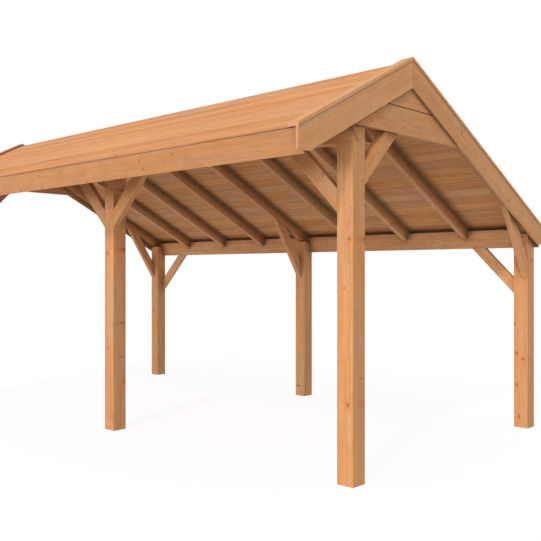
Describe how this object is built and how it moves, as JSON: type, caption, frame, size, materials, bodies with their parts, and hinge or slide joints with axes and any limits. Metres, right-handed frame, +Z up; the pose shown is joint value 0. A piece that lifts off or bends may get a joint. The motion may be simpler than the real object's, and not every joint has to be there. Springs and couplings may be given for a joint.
{
  "type": "open-sided shed",
  "caption": "Open-sided timber shed: square posts with braces and plates carry an uneven gable roof with rafters, boarding, fascias, barge boards and closed gable tops.",
  "frame": {"origin": "on the ground, in the middle of the roof's outline in plan", "axes": "+X along the ridge to the right seen from the high front, -Y towards the high front, +Z up"},
  "size_m": [6.21, 3.851, 3.3046],
  "materials": {
    "post": "planed softwood, untreated",
    "beam": "planed softwood, untreated",
    "brace": "planed softwood, untreated",
    "rafter": "planed softwood, untreated",
    "board": "planed softwood boards, untreated",
    "boarding": "planed softwood boards, untreated"
  },
  "bodies": {
    "root": {"post_front_left": "post", "post_front_middle": "post", "post_front_right": "post", "post_rear_left": "post", "post_rear_middle": "post", "post_rear_right": "post", "plate_front": "beam", "plate_rear": "beam", "brace_front_left": "brace", "brace_front_middle_left": "brace", "brace_front_middle_right": "brace", "brace_front_right": "brace", "brace_rear_left": "brace", "brace_rear_right": "brace", "brace_gable_left_front": "brace", "brace_gable_right_front": "brace", "brace_gable_left_rear": "brace", "brace_gable_right_rear": "brace", "brace_middle_rear": "brace", "rafters_1": "rafter", "rafters_2": "rafter", "rafters_3": "rafter", "rafters_4": "rafter", "rafters_5": "rafter", "rafters_6": "rafter", "rafters_7": "rafter", "rafters_8": "rafter", "rafters_9": "rafter", "collar_2": "rafter", "collar_8": "rafter", "gable_board_left": "board", "gable_board_right": "board", "gable_panel_left": "board", "gable_panel_right": "board", "boarding_front": "boarding", "boarding_rear": "boarding", "fascia_front": "board", "fascia_rear": "board", "barge_left_front": "board", "barge_left_rear": "board", "barge_right_front": "board", "barge_right_rear": "board", "cap_left_front": "board", "cap_left_rear": "board", "cap_right_front": "board", "cap_right_rear": "board"}
  },
  "joints": []
}
